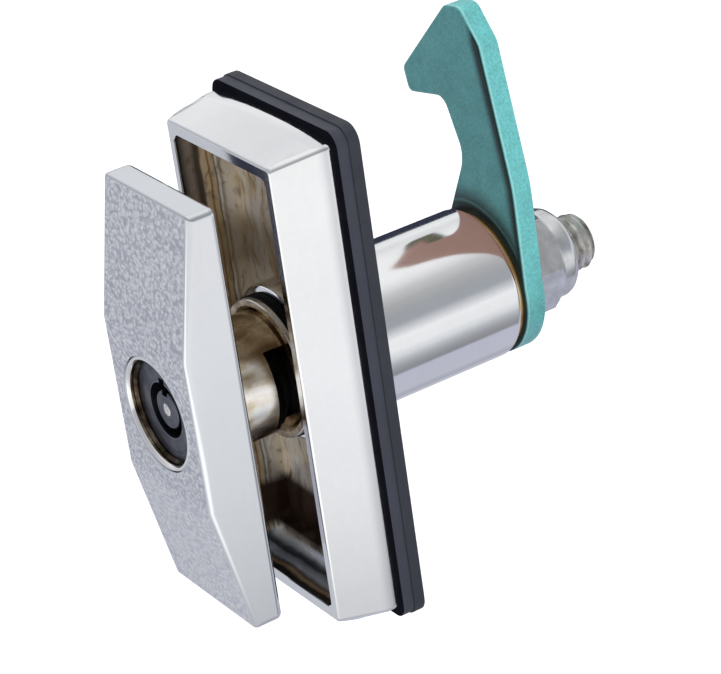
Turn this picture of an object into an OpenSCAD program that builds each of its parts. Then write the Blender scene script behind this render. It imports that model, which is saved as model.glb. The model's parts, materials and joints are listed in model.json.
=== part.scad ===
// Pop-out T-handle lock: pan housing with a barrel, T handle with a tubular lock, spindle, hook cam.
// The lock axis is Y with the handle at -Y, Z runs along the handle and X across it.
// The origin lies on the axis, in the plane of the door panel, which is the gasket's rear face.
// The handle is drawn popped out, with the lock turned to open and its locking bolt drawn in.

/* [Pan] */
// Width of the pan at its front rim
pan_front_w = 31; // [29:0.5:35]
// Height of the pan at its front rim
pan_front_h = 80.4; // [74:0.2:86]
// Width of the pan at its rear edge
pan_rear_w = 34.4; // [33:0.2:40]
// Height of the pan at its rear edge
pan_rear_h = 84.5; // [83:0.5:92]
// How far the pan's front rim stands off the door panel
pan_depth = 14.65; // [13.5:0.05:17]
// Straight band behind the taper of the pan's sides
pan_band = 2; // [1:0.25:3]
// Radius of the pan's four long corners
pan_corner_r = 2; // [1:0.25:3]
// Rounding of the front rim's outer edge
pan_edge_r = 0.8; // [0.4:0.1:1.2]
// Width of the front rim along the sides
rim_side = 1.7; // [1.2:0.1:2.2]
// Width of the front rim at the ends
rim_end = 2.1; // [1.5:0.1:3]
// Draft of the recess walls, from the rim to the floor
recess_draft = 0.9; // [0.3:0.1:1.2]
// Thickness of the recess floor
floor_t = 3.1; // [2.5:0.1:4]
// Depth of the seats at the ends of the recess, below the rim
seat_depth = 7; // [5:0.25:8]
// Length of each end seat, along the handle
seat_len = 2.6; // [1.5:0.1:4]
// Distance between the two tapped holes behind the end seats
screw_spacing = 77; // [76:0.5:78]
// Tapping radius of the two mounting screw holes
screw_r = 2.1; // [1.65:0.05:2.1]
// Depth of the tapped holes
screw_depth = 6; // [4:0.25:6]

/* [Gasket] */
// Thickness of the gasket
gasket_t = 4; // [3:0.25:5]
// How far the gasket shows beside the pan
gasket_side = 1.6; // [0.8:0.1:3]
// How far the gasket shows past the pan's ends
gasket_end = 1.3; // [0.6:0.1:3]
// How far the gasket stands behind the casting before it is clamped
gasket_squeeze = 0.4; // [0.2:0.05:0.8]

/* [Barrel] */
// Wall of the barrel around the spindle
barrel_wall = 1.74; // [1.7:0.02:2.4]
// Length of the barrel behind the door panel
barrel_len = 29.4; // [28:0.2:40]
// Chamfer of the barrel's rear rim
barrel_chamfer = 0.8; // [0.3:0.1:1.2]
// Height of the barrel's collar above the recess floor
collar_h = 6; // [4.5:0.1:7]
// Thickness of the barrel's rear wall, which carries the spindle's journal
rear_wall = 3.2; // [2.5:0.1:4]

/* [Handle] */
// Free gap between the pan's rim and the popped-out handle
grip_gap = 8.45; // [7:0.05:11]
// Side clearance of the handle in the recess opening
handle_side_gap = 0.6; // [0.4:0.05:1.2]
// End clearance of the handle in the recess opening
handle_end_gap = 1.6; // [0.6:0.1:3]
// Thickness of the handle at its middle
handle_t = 9.8; // [9:0.2:12]
// Thickness of the handle at its ends
handle_end_t = 5.3; // [4:0.1:7]
// Height of the flat middle facet of the handle
facet_h = 26.4; // [22:0.2:34]
// Rounding of the handle's edges
handle_edge_r = 0.9; // [0.5:0.1:1.4]
// Radius of the handle's stem
stem_r = 10.05; // [10:0.01:10.1]

/* [Spindle and cam] */
// Wall of the spindle's sleeve
spindle_wall = 1.09; // [1:0.01:1.2]
// Radius of the journal at the rear of the spindle
journal_r = 8; // [7.8:0.1:8.4]
// Width across the flats of the drive stud's square
square_w = 10; // [10:0.1:10.4]
// Radius of the drive stud's thread
stud_r = 4.95; // [4.5:0.05:5]
// Length of thread past the nut
stud_out = 5.4; // [3:0.1:9]
// Thickness of the hook cam
cam_t = 4; // [3:0.1:5]
// Radius of the cam's hub
cam_hub_r = 12.9; // [12:0.1:14]
// Reach of the cam from the axis to the top of its hook
cam_reach = 49; // [46:0.5:60]
// Reach of the hook's nose to the side
hook_nose = 15.6; // [12:0.2:18]
// Depth of the hook's throat below the top of the cam
hook_drop = 17; // [15:0.2:20]
// Width across the flats of the nut
nut_af = 16; // [16:0.5:17]
// Height of the nut's hexagon
nut_hex_h = 7.9; // [6:0.1:9]
// Height of the nut's collar over its nylon ring
nut_collar_h = 3.6; // [2.4:0.1:4.5]
// Turn of the handle between the stops, in degrees
turn_angle = 180; // [90:5:180]

/* [Tubular lock] */
// Outer radius of the bezel ring
bezel_r = 9.8; // [9.4:0.05:9.9]
// Depth of the lock's face below the handle's middle facet
face_recess = 1.9; // [1.2:0.1:2.2]
// Radius of the lock's shell
shell_r = 8.75; // [8.5:0.05:8.8]
// Outer radius of the ring-shaped keyway
keyway_r = 4.75; // [4.6:0.05:4.8]
// Radius of the post in the keyway
post_r = 3.3; // [3.2:0.05:3.4]
// Depth of the keyway
keyway_depth = 5.5; // [4.5:0.1:5.5]
// Radius of the tumbler pins
pin_r = 0.6; // [0.5:0.02:0.62]
// Number of places for tumbler pins, of which the one at the notch is left empty
pin_places = 8; // [6:1:8]
// Throw of the locking bolt
bolt_throw = 2.6; // [2.2:0.05:2.65]
// Turn of the key, in degrees
key_turn = 90; // [80:5:90]

/* [Hidden] */
run_gap = 0.06;       // radial gap of a shaft that turns or slides in its hole
slide_gap = 0.1;      // gap beside flat sliding faces
part_gap = 0.3;       // open gap between pieces that pass each other
fit_gap = 0.05;       // gap of a seated piece in its hole
eps = 0.01;
slice = 0.1;          // thickness of the slices that the pan is drawn from
fine = 96;            // facets asked for on round faces
corner_steps = 8;     // straight steps round a corner of a rounded rectangle

// Pan and recess
pan_y = -pan_depth;
pan_rear_y = -gasket_t;
cast_rear_y = -gasket_squeeze;
open_w = pan_front_w - 2 * rim_side;
open_h = pan_front_h - 2 * rim_end;
floor_y = cast_rear_y - floor_t;
seat_y = pan_y + seat_depth;
recess_r = 1.4;
pad_side = 2.7;       // how far the casting's rear pad lies inside the pan's rear edge
pad_end = 1.25;
pad_w = pan_rear_w - 2 * pad_side;
pad_h = pan_rear_h - 2 * pad_end;
pad_r = 1.5;
gasket_w = pan_rear_w + 2 * gasket_side;
gasket_h = pan_rear_h + 2 * gasket_end;
gasket_r = 3;
gasket_step = 0.25;   // the front half of the gasket's side is set in by this much

// Spindle, sleeve and seal
spindle_bore = stem_r + run_gap;
spindle_r = spindle_bore + spindle_wall;
bore_r = spindle_r + run_gap;
barrel_r = bore_r + barrel_wall;
collar_y = floor_y - collar_h;
collar_r = barrel_r + 0.3;
collar_lip = 0.7;
seal_w = 1.85;
seal_h = 0.85;
flange_t = 0.95;
flange_rear_y = collar_y - seal_w;
flange_y = flange_rear_y - flange_t;
flange_r = spindle_r + 0.7;
barrel_end = barrel_len;
shoulder_y = barrel_end - rear_wall - part_gap;
spindle_web = 3.9;
spindle_back = shoulder_y - spindle_web;
journal_end = barrel_end + part_gap;

// Handle
handle_w = open_w - 2 * handle_side_gap;
handle_h = open_h - 2 * handle_end_gap;
handle_back = pan_y - grip_gap;
handle_front = handle_back - handle_t;
handle_end_front = handle_back - handle_end_t;
pocket_r = flange_r + 0.5;
seat_gap = 0.6;
travel = collar_y - handle_back - seat_gap;
pocket_y = flange_y - travel - part_gap;
stem_end = spindle_back - travel - 1;
spring_bore = stem_r - 2.45;
slot_rear = flange_y - 0.2;
bolt_t = 3.5;
slot_front = slot_rear - bolt_t - 2 * slide_gap;
window_h = 12.1;
window_flare = 1.7;   // how far inside the stem's surface the window begins to widen
web_rear = slot_rear + 3;
guide_d = 3;          // diameter of the dowels that drive the spindle
guide_depth = 1.6;
guide_y = stem_end - 1.5 - guide_d / 2;
guide_in = stem_r - guide_depth + slide_gap + fit_gap;

// Rear stack
washer_t = 0.6;
washer_r = barrel_r - 1;
washer_y = journal_end;
cam_y = washer_y + washer_t;
nut_y = cam_y + cam_t;
collar_end = nut_y + nut_hex_h + nut_collar_h;
stud_end = collar_end + stud_out;
square_r = 6.5;
head_r = spring_bore - 0.2;
head_t = 2;
head_y = spindle_back - head_t;
nut_r = nut_af / 2 / cos(30);
nut_collar_r = nut_af / 2 - 0.1;
nut_tilt = -7;
tab_in = journal_r + 1.6;
tab_out = barrel_r - 1.6;
tab_half = 8;         // half the angle that the stop tab covers
tab_deep = 0.8;
stop_slack = 0.5;

// Tubular lock
face_y = handle_front + face_recess;
bezel_front = handle_front + 0.1;
bezel_in = bezel_r - 0.6;
bezel_throat = shell_r - 0.35;
keyway_end = face_y + keyway_depth;
disc_r = 6.2;
disc_t = 2.4;
shear_y = keyway_end + slide_gap + disc_t;
block_r = 7.4;
block_len = 4.7;
block_y = shear_y + slide_gap;
block_end = block_y + block_len;
shell_end = block_end + 0.7;
shaft_r = 2.4;
pin_pitch = (keyway_r + post_r) / 2;
driver_len = 1.8;
driver_spring_len = 2.2;
notch_w = 1.6;
notch_deep = 0.9;
crank_disc_r = 3.2;
crank_pin_r = 1;
crank_room = 3.6;
crank_disc_end = slot_front - 0.15;
crank_disc_y = shell_end + slide_gap;
crank_r = bolt_throw / 2 / sin(key_turn / 2);
bolt_h = window_h - 0.3;
groove_r = bore_r + 1.14;
bolt_reach = groove_r - 0.2;    // radius of the bolt's nose when it is thrown
bolt_back = 4.6;      // how far the drawn-in bolt reaches past the axis
bolt_bevel = 2.2;
bolt_y = slot_front + slide_gap;
slot_back = stem_r - 1.05;
shell_pin_r = 1.25;
shell_pin_y = (shear_y + shell_end) / 2;

// Springs
popout_wire = 0.6;
popout_coil_r = head_r - popout_wire - 0.3;
popout_turns = 8;
bolt_wire = 0.2;
bolt_coil_r = 1.3;
bolt_turns = 4;
driver_wire = 0.1;
driver_turns = 3;

// Helpers

// Places a flat outline, drawn in X and Z, between two distances along the axis
module plate(y0, y1) {
    translate([0, y1, 0]) rotate([90, 0, 0]) linear_extrude(y1 - y0) children();
}

// A round bar along the axis
module rod(r, y0, y1, fn = fine) {
    translate([0, y0, 0]) rotate([-90, 0, 0]) cylinder(r = r, h = y1 - y0, $fn = fn);
}

// Turns a profile of [radius, y] points about the axis
module turned(profile, fn = fine) {
    rotate([-90, 0, 0]) rotate_extrude($fn = fn) polygon(profile);
}

function unit(v) = v / norm(v);

// The arc that rounds corner p, given as [x, y, r], between its neighbours a and b
function corner_arc(p, a, b, n) =
    let (
        u = unit([a[0] - p[0], a[1] - p[1]]),
        v = unit([b[0] - p[0], b[1] - p[1]]),
        half = acos(max(-1, min(1, u * v))) / 2,
        c = [p[0], p[1]] + unit(u + v) * (p[2] / sin(half)),
        s = [p[0], p[1]] + u * (p[2] / tan(half)),
        e = [p[0], p[1]] + v * (p[2] / tan(half)),
        a0 = atan2(s[1] - c[1], s[0] - c[0]),
        d = atan2(e[1] - c[1], e[0] - c[0]) - a0,
        w = d > 180 ? d - 360 : d < -180 ? d + 360 : d
    )
    [for (i = [0:n]) c + p[2] * [cos(a0 + w * i / n), sin(a0 + w * i / n)]];

// An outline with its corners rounded; a corner of radius 0 stays sharp
function rounded(pts, n = 6) = [
    for (i = [0:len(pts) - 1])
        let (p = pts[i], a = pts[(i + len(pts) - 1) % len(pts)], b = pts[(i + 1) % len(pts)])
            each (p[2] == 0 ? [[p[0], p[1]]] : corner_arc(p, a, b, n))
];

// A rectangle with rounded corners, centred
module round_rect(w, h, r) {
    polygon(rounded([[w / 2, h / 2, r], [-w / 2, h / 2, r], [-w / 2, -h / 2, r], [w / 2, -h / 2, r]], corner_steps));
}

// A sector outline from angle a0 to a1, in the X Z plane
function sector(r, a0, a1, n = 12) =
    concat([[0, 0]], [for (i = [0:n]) r * [cos(a0 + (a1 - a0) * i / n), sin(a0 + (a1 - a0) * i / n)]]);

// A coil spring along the axis as one closed tube of triangles
module coil(y0, y1, coil_r, wire_r, turns, steps, sides) {
    count = turns * steps;
    rise = y1 - y0 - 2 * wire_r;
    rings = [
        for (i = [0:count])
            let (a = 360 * i / steps, y = y0 + wire_r + rise * i / count)
                [for (k = [0:sides - 1])
                    let (b = 360 * k / sides, r = coil_r + wire_r * cos(b))
                        [r * sin(a), y + wire_r * sin(b), r * cos(a)]]
    ];
    points = [for (ring = rings) each ring];
    walls = [
        for (i = [0:count - 1], k = [0:sides - 1])
            let (p = i * sides + k, q = i * sides + (k + 1) % sides)
                each [[p, p + sides, q], [q, p + sides, q + sides]]
    ];
    first = [for (k = [1:sides - 2]) [0, k, k + 1]];
    last = [for (k = [1:sides - 2]) [count * sides, count * sides + k + 1, count * sides + k]];
    polyhedron(points = points, faces = concat(walls, first, last), convexity = 6);
}

// The drive square with its corners turned down
module drive_square(gap = 0) {
    intersection() {
        square(square_w + 2 * gap, center = true);
        circle(r = square_r + gap, $fn = fine);
    }
}

// Housing: one casting with the pan, the recess, the collar and the barrel

// A thin slice of the pan, starting at y
module pan_slab(w, h, y) {
    plate(y, y + slice) round_rect(w, h, pan_corner_r);
}

module pan_outside() {
    hull() {
        pan_slab(pan_front_w - 2 * pan_edge_r, pan_front_h - 2 * pan_edge_r, pan_y);
        pan_slab(pan_front_w - 0.6 * pan_edge_r, pan_front_h - 0.6 * pan_edge_r, pan_y + 0.3 * pan_edge_r);
        pan_slab(pan_front_w, pan_front_h, pan_y + pan_edge_r);
        pan_slab(pan_rear_w, pan_rear_h, pan_rear_y - pan_band);
        pan_slab(pan_rear_w, pan_rear_h, pan_rear_y - slice);
    }
}

// The hollow for the handle, from the open mouth down to depth y, with ends at height h
module recess(y, h_cut) {
    part = (y - pan_y) / (floor_y - pan_y);
    hull() {
        plate(pan_y - 1, pan_y) round_rect(open_w, open_h - 2 * h_cut, recess_r);
        plate(y - slice, y) {
            round_rect(open_w - 2 * recess_draft * part, open_h - 2 * h_cut - recess_draft * part, recess_r);
        }
    }
}

module housing() {
    color([0.86, 0.87, 0.89]) difference() {
        union() {
            difference() {
                pan_outside();
                recess(seat_y, 0);
                recess(floor_y, seat_len);
            }
            plate(pan_rear_y - 1, cast_rear_y) round_rect(pad_w, pad_h, pad_r);
            turned([
                [0, collar_y], [collar_r - collar_lip, collar_y], [collar_r, collar_y + collar_lip],
                [collar_r, floor_y + eps], [barrel_r, floor_y + eps],
                [barrel_r, barrel_end - barrel_chamfer], [barrel_r - barrel_chamfer, barrel_end], [0, barrel_end]
            ]);
        }
        rod(bore_r, collar_y - 1, barrel_end - rear_wall);
        rod(journal_r + run_gap, barrel_end - rear_wall - 1, barrel_end + 1);
        // Groove that the locking bolt is thrown into
        rod(groove_r, bolt_y + travel - 2 * slide_gap, bolt_y + travel + bolt_t + 2 * slide_gap);
        // Track of the stop tab in the rear face
        intersection() {
            difference() {
                rod(tab_out + part_gap, barrel_end - tab_deep - part_gap, barrel_end + 1);
                rod(tab_in - part_gap, barrel_end - tab_deep - 1, barrel_end + 2);
            }
            plate(barrel_end - 2, barrel_end + 2) {
                polygon(sector(barrel_r + 2, -90 + tab_half + stop_slack, -90 - turn_angle - tab_half - stop_slack, 16));
            }
        }
        for (side = [-1, 1]) {
            translate([0, 0, side * screw_spacing / 2]) rod(screw_r, cast_rear_y - screw_depth, 1, 48);
        }
    }
}

// Rubber frame between the pan and the door, around the casting's rear pad
module gasket() {
    color([0.16, 0.17, 0.19]) difference() {
        union() {
            plate(-gasket_t, -gasket_t / 2) {
                round_rect(gasket_w - 2 * gasket_step, gasket_h - 2 * gasket_step, gasket_r - gasket_step);
            }
            plate(-gasket_t / 2, 0) round_rect(gasket_w, gasket_h, gasket_r);
        }
        plate(-gasket_t - 1, 1) round_rect(pad_w + 2 * fit_gap, pad_h + 2 * fit_gap, pad_r + fit_gap);
    }
}

// Rubber ring that seals the spindle against the collar
module seal_ring() {
    in = spindle_r + fit_gap;
    out = in + seal_h;
    front = flange_rear_y + fit_gap;
    rear = collar_y - fit_gap;
    cut = 0.25;
    color([0.05, 0.05, 0.06]) turned([
        [in, front], [out - cut, front], [out, front + cut], [out, rear - cut], [out - cut, rear], [in, rear]
    ]);
}

// Spindle: the sleeve that the stem slides in, with the journal at its rear
module spindle() {
    mouth = 0.7;
    color([0.78, 0.78, 0.8]) difference() {
        turned([
            [0, flange_y], [flange_r - 0.2, flange_y], [flange_r, flange_y + 0.2], [flange_r, flange_rear_y],
            [spindle_r, flange_rear_y], [spindle_r, shoulder_y - 0.4], [spindle_r - 0.4, shoulder_y],
            [journal_r, shoulder_y], [journal_r, journal_end], [0, journal_end]
        ]);
        rod(spindle_bore, flange_y - 1, spindle_back);
        turned([
            [0, flange_y - eps], [spindle_bore + mouth, flange_y - eps], [spindle_bore, flange_y + mouth],
            [0, flange_y + mouth]
        ]);
        plate(spindle_back - 1, journal_end + 1) drive_square(fit_gap);
        // Slot for the thrown bolt
        translate([0, bolt_y + travel - slide_gap, -window_h / 2]) cube([spindle_r + 1, bolt_t + 2 * slide_gap, window_h]);
        // Holes for the two dowels
        for (side = [0, 180]) {
            rotate([0, side, 0]) translate([0, guide_y, spindle_bore - 1]) cylinder(d = guide_d, h = spindle_wall + 2, $fn = 48);
        }
    }
}

// Two dowels in the sleeve, which run in the stem's grooves, turn the spindle and keep the handle in
module drive_pins() {
    color([0.62, 0.63, 0.66]) {
        for (side = [0, 180]) {
            rotate([0, side, 0]) translate([0, guide_y, guide_in]) {
                cylinder(d = guide_d - 2 * eps, h = spindle_r - guide_in - eps, $fn = 48);
            }
        }
    }
}

// Stud with a flat head inside the sleeve, a square neck and a thread for the nut
module drive_stud() {
    chamfer = 0.8;
    color([0.68, 0.69, 0.7]) {
        rod(head_r, head_y, spindle_back);
        plate(spindle_back - eps, nut_y - slide_gap) drive_square();
        turned([
            [0, nut_y - slide_gap - eps], [stud_r, nut_y - slide_gap - eps], [stud_r, stud_end - chamfer],
            [stud_r - chamfer, stud_end], [0, stud_end]
        ]);
    }
}

// Spring that pushes the handle out
module popout_spring() {
    color([0.55, 0.56, 0.58]) {
        coil(web_rear + fit_gap, head_y - fit_gap, popout_coil_r, popout_wire, popout_turns, 16, 6);
    }
}

// Washer on the drive square, with a tab that runs in the barrel's rear face
module stop_washer() {
    color([0.72, 0.64, 0.36]) difference() {
        union() {
            rod(washer_r, washer_y, washer_y + washer_t);
            intersection() {
                difference() {
                    rod(tab_out, barrel_end - tab_deep, washer_y + eps);
                    rod(tab_in, barrel_end - tab_deep - 1, washer_y + 1);
                }
                plate(barrel_end - 2, washer_y + 1) polygon(sector(barrel_r + 2, -90 - tab_half, -90 + tab_half, 4));
            }
        }
        plate(washer_y - 1, washer_y + washer_t + 1) drive_square(fit_gap);
    }
}

// Hook cam: a flat arm from the hub up to a hook whose nose points to -X
module hook_cam() {
    top = cam_reach;
    throat = top - hook_drop;
    join_a = 120;
    outline = rounded([
        [cam_hub_r * cos(8), -cam_hub_r * sin(8), 0],
        [cam_hub_r - 0.4, 20, 30],
        [7.7, top - 5.2, 3],
        [3.2, top + 0.3, 2.2],
        [-0.9, top - 0.2, 2.6],
        [-hook_nose, top - 14.5, 1.4],
        [1 - hook_nose, throat - 1.8, 1.2],
        [-4.4, throat, 2.4],
        [-0.9, throat - 8.4, 4],
        [-1.4, throat - 11.2, 5],
        [cam_hub_r * cos(join_a), cam_hub_r * sin(join_a), 0],
        [0, 0, 0]
    ]);
    color([0.24, 0.66, 0.63]) difference() {
        union() {
            rod(cam_hub_r, cam_y, nut_y);
            plate(cam_y, nut_y) polygon(outline);
        }
        plate(cam_y - 1, nut_y + 1) drive_square(fit_gap);
    }
}

// Lock nut with a domed hexagon and a rolled collar
module lock_nut() {
    hex_end = nut_y + nut_hex_h;
    dome = 1.4;
    foot = 0.5;
    roll = 0.9;
    color([0.78, 0.79, 0.82]) difference() {
        union() {
            intersection() {
                rotate([0, nut_tilt, 0]) rod(nut_r, nut_y, hex_end, 6);
                turned([
                    [0, nut_y], [nut_r - foot, nut_y], [nut_r + 0.1, nut_y + foot], [nut_r + 0.1, hex_end - dome],
                    [nut_collar_r, hex_end], [0, hex_end]
                ]);
            }
            turned([
                [0, hex_end - 1], [nut_collar_r, hex_end - 1], [nut_collar_r, collar_end - 1.7],
                [nut_collar_r - 0.3, collar_end - roll], [nut_collar_r - roll, collar_end - 0.25],
                [nut_collar_r - roll - 0.7, collar_end], [0, collar_end]
            ]);
        }
        rod(stud_r + fit_gap, nut_y - 1, collar_end + 1);
        rod(stud_r + 1.4, hex_end + 0.4, collar_end - 0.5);
    }
}

// Nylon ring under the nut's collar
module nylon_insert() {
    color([0.2, 0.35, 0.6]) difference() {
        rod(stud_r + 1.4 - eps, nut_y + nut_hex_h + 0.45, collar_end - 0.55);
        rod(stud_r + eps, nut_y, collar_end + 1);
    }
}

// Handle: one casting with the faceted bar and the stem

module bar_corner(x, y, z) {
    translate([x, y, z]) sphere(r = handle_edge_r, $fn = 16);
}

module handle_bar() {
    e = handle_edge_r;
    x = handle_w / 2 - e;
    z = handle_h / 2 - e;
    hull() {
        for (sx = [-1, 1], sz = [-1, 1]) {
            bar_corner(sx * x, handle_back - e, sz * z);
            bar_corner(sx * x, handle_end_front + e, sz * z);
            bar_corner(sx * x, handle_front + e, sz * facet_h / 2);
        }
    }
}

module t_handle() {
    side_z = window_h / 2;
    flare_x = sqrt(stem_r * stem_r - side_z * side_z) - window_flare;
    flare_out = stem_r + 1;
    color([0.8, 0.81, 0.83]) difference() {
        union() {
            difference() {
                handle_bar();
                rod(pocket_r, pocket_y, handle_back + 1);
            }
            rod(stem_r, handle_back - handle_t / 2, stem_end);
        }
        // Seat of the bezel and bore of the lock
        rod(bezel_r + fit_gap, handle_front - 1, face_y + fit_gap);
        rod(shell_r + fit_gap, handle_front, shell_end + fit_gap);
        rod(crank_room, shell_end, slot_front + eps);
        // Window and slide way of the locking bolt, open to +X and flared at the stem's surface
        plate(slot_front, slot_rear) {
            polygon([
                [-slot_back, -side_z], [flare_x, -side_z], [flare_out, flare_x - flare_out - side_z],
                [flare_out, flare_out - flare_x + side_z], [flare_x, side_z], [-slot_back, side_z]
            ]);
        }
        rod(spring_bore, web_rear, stem_end + 1);
        // Grooves for the dowels
        for (side = [0, 180]) {
            rotate([0, side, 0]) translate([-guide_d / 2 - slide_gap / 2, guide_y - travel - guide_d / 2 - slide_gap, stem_r - guide_depth]) {
                cube([guide_d + slide_gap, travel + guide_d + 2 * slide_gap, guide_depth + 1]);
            }
        }
        // Hole of the pin that holds the lock's shell
        translate([0, shell_pin_y, -stem_r - 1]) cylinder(r = shell_pin_r + eps, h = stem_r - shell_r + 1.5, $fn = 32);
    }
}

// Bezel ring around the lock's face
module lock_bezel() {
    color([0.7, 0.66, 0.6]) turned([
        [bezel_r, face_y], [bezel_r, bezel_front + 0.3], [bezel_r - 0.25, bezel_front], [bezel_in, bezel_front],
        [bezel_throat + 0.35, bezel_front + 0.9], [bezel_throat + 0.35, bezel_front + 1.1],
        [bezel_throat, face_y - 0.2], [bezel_throat, face_y]
    ]);
}

// Fixed shell of the tubular lock, with the ring-shaped keyway and its notch
module lock_shell() {
    color([0.3, 0.3, 0.31]) difference() {
        rod(shell_r, face_y + eps, shell_end);
        rod(keyway_r, face_y - 1, keyway_end + 1);
        rod(disc_r + slide_gap, keyway_end, block_y);
        rod(block_r + fit_gap, block_y - eps, shell_end + 1);
        translate([-notch_w / 2, face_y - 1, 0]) cube([notch_w, keyway_depth + 1, keyway_r + notch_deep]);
        translate([0, shell_pin_y, -shell_r - 1]) cylinder(r = shell_pin_r + eps, h = 2, $fn = 32);
    }
}

// Pin through the stem's wall that holds the lock's shell
module shell_pin() {
    color([0.6, 0.6, 0.62]) translate([0, shell_pin_y, 0.2 - stem_r]) {
        cylinder(r = shell_pin_r, h = stem_r - shell_r + 0.6, $fn = 32);
    }
}

module pin_holes(r, y0, y1) {
    for (i = [1:pin_places - 1]) {
        rotate([0, 360 * i / pin_places, 0]) translate([0, 0, pin_pitch]) rod(r, y0, y1, 24);
    }
}

// Fixed block behind the shear line, with a chamber for each driver pin
module pin_block() {
    color([0.74, 0.62, 0.34]) difference() {
        rod(block_r, block_y, block_end);
        rod(shaft_r + run_gap, block_y - 1, block_end + 1);
        pin_holes(pin_r + fit_gap, block_y - 1, block_y + driver_len + driver_spring_len + slide_gap);
    }
}

// Driver pins, drawn at the shear line as with the key pushed in
module driver_pins() {
    color([0.75, 0.75, 0.77]) pin_holes(pin_r, block_y, block_y + driver_len);
}

module driver_springs() {
    y0 = block_y + driver_len + eps;
    color([0.5, 0.5, 0.52]) for (i = [1:pin_places - 1]) {
        rotate([0, 360 * i / pin_places, 0]) translate([0, 0, pin_pitch]) {
            coil(y0, y0 + driver_spring_len, pin_r - driver_wire - 0.02, driver_wire, driver_turns, 8, 4);
        }
    }
}

// Turning plug: the post in the keyway, the disc of the key pins and the shaft to the crank
module lock_plug() {
    post_front = face_y + 0.2;
    color([0.36, 0.36, 0.38]) difference() {
        union() {
            turned([
                [0, post_front], [post_r - 0.2, post_front], [post_r, post_front + 0.2], [post_r, keyway_end + slide_gap + eps],
                [0, keyway_end + slide_gap + eps]
            ]);
            rod(disc_r, keyway_end + slide_gap, shear_y);
            rod(shaft_r, shear_y - eps, crank_disc_y);
        }
        pin_holes(pin_r + fit_gap, keyway_end - 1, shear_y + 1);
        translate([-notch_w / 2, post_front - 1, post_r - notch_deep]) cube([notch_w, keyway_depth + 0.8, notch_deep + 1]);
        rod(0.9, post_front - 1, post_front + 2, 32);
    }
}

// Key pins of different lengths; their front ends show at the bottom of the keyway
module key_pins() {
    color([0.8, 0.68, 0.38]) for (i = [1:pin_places - 1]) {
        extra = 0.35 * ((i * 3) % 5);
        rotate([0, 360 * i / pin_places, 0]) translate([0, 0, pin_pitch]) {
            rod(pin_r, keyway_end - 0.4 - extra, shear_y - eps, 24);
        }
    }
}

// Hard pin in the middle of the post
module drill_pin() {
    front = face_y + 0.1;
    color([0.9, 0.9, 0.92]) turned([
        [0, front], [0.6, front], [0.9 - eps, front + 0.3], [0.9 - eps, front + 2.05], [0, front + 2.05]
    ], 32);
}

// Crank on the plug's shaft, whose pin draws the bolt in; it stands at half the key turn before the top
module drive_crank() {
    color([0.66, 0.66, 0.68]) {
        rod(crank_disc_r, crank_disc_y, crank_disc_end);
        rotate([0, -key_turn / 2, 0]) translate([0, 0, crank_r]) rod(crank_pin_r, crank_disc_end - eps, slot_rear - 0.6, 32);
    }
}

// Locking bolt: slides towards +X out of the stem's window
module lock_bolt() {
    reach = crank_r * sin(key_turn / 2) + crank_pin_r + slide_gap;
    rear = bolt_y + bolt_t;
    color([0.22, 0.22, 0.24]) difference() {
        intersection() {
            translate([-bolt_back, bolt_y, -bolt_h / 2]) cube([bolt_back + bolt_reach, bolt_t, bolt_h]);
            // The nose is round, with a bevel that lets the sleeve's mouth press the bolt in
            translate([-bolt_throw, 0, 0]) turned([
                [0, bolt_y - 1], [bolt_reach, bolt_y - 1], [bolt_reach, rear - bolt_bevel],
                [bolt_reach - bolt_bevel - 0.5, rear + 0.5], [0, rear + 0.5]
            ]);
        }
        translate([-reach, bolt_y - 1, crank_r * cos(key_turn / 2) - crank_pin_r - slide_gap]) {
            cube([2 * reach, bolt_t + 2, crank_r * (1 - cos(key_turn / 2)) + 2 * crank_pin_r + 2 * slide_gap]);
        }
    }
}

// Spring behind the bolt
module bolt_spring() {
    color([0.55, 0.55, 0.57]) translate([0, bolt_y + bolt_t / 2, 0]) rotate([0, 0, -90]) {
        coil(eps - slot_back, -bolt_back - eps, bolt_coil_r, bolt_wire, bolt_turns, 12, 6);
    }
}

housing();
gasket();
seal_ring();
spindle();
drive_pins();
drive_stud();
popout_spring();
stop_washer();
hook_cam();
lock_nut();
nylon_insert();
t_handle();
lock_bezel();
lock_shell();
shell_pin();
pin_block();
driver_pins();
driver_springs();
lock_plug();
key_pins();
drill_pin();
drive_crank();
lock_bolt();
bolt_spring();
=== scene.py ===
"""Looks of a pop-out T-handle lock: its cast and turned pieces, their finishes, and a plain studio."""

import json
import math

import bmesh
import bpy
from bpy.props import FloatProperty, FloatVectorProperty, IntProperty, PointerProperty
from bpy.types import Operator, Panel, PropertyGroup
from mathutils import Matrix, Vector

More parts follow.
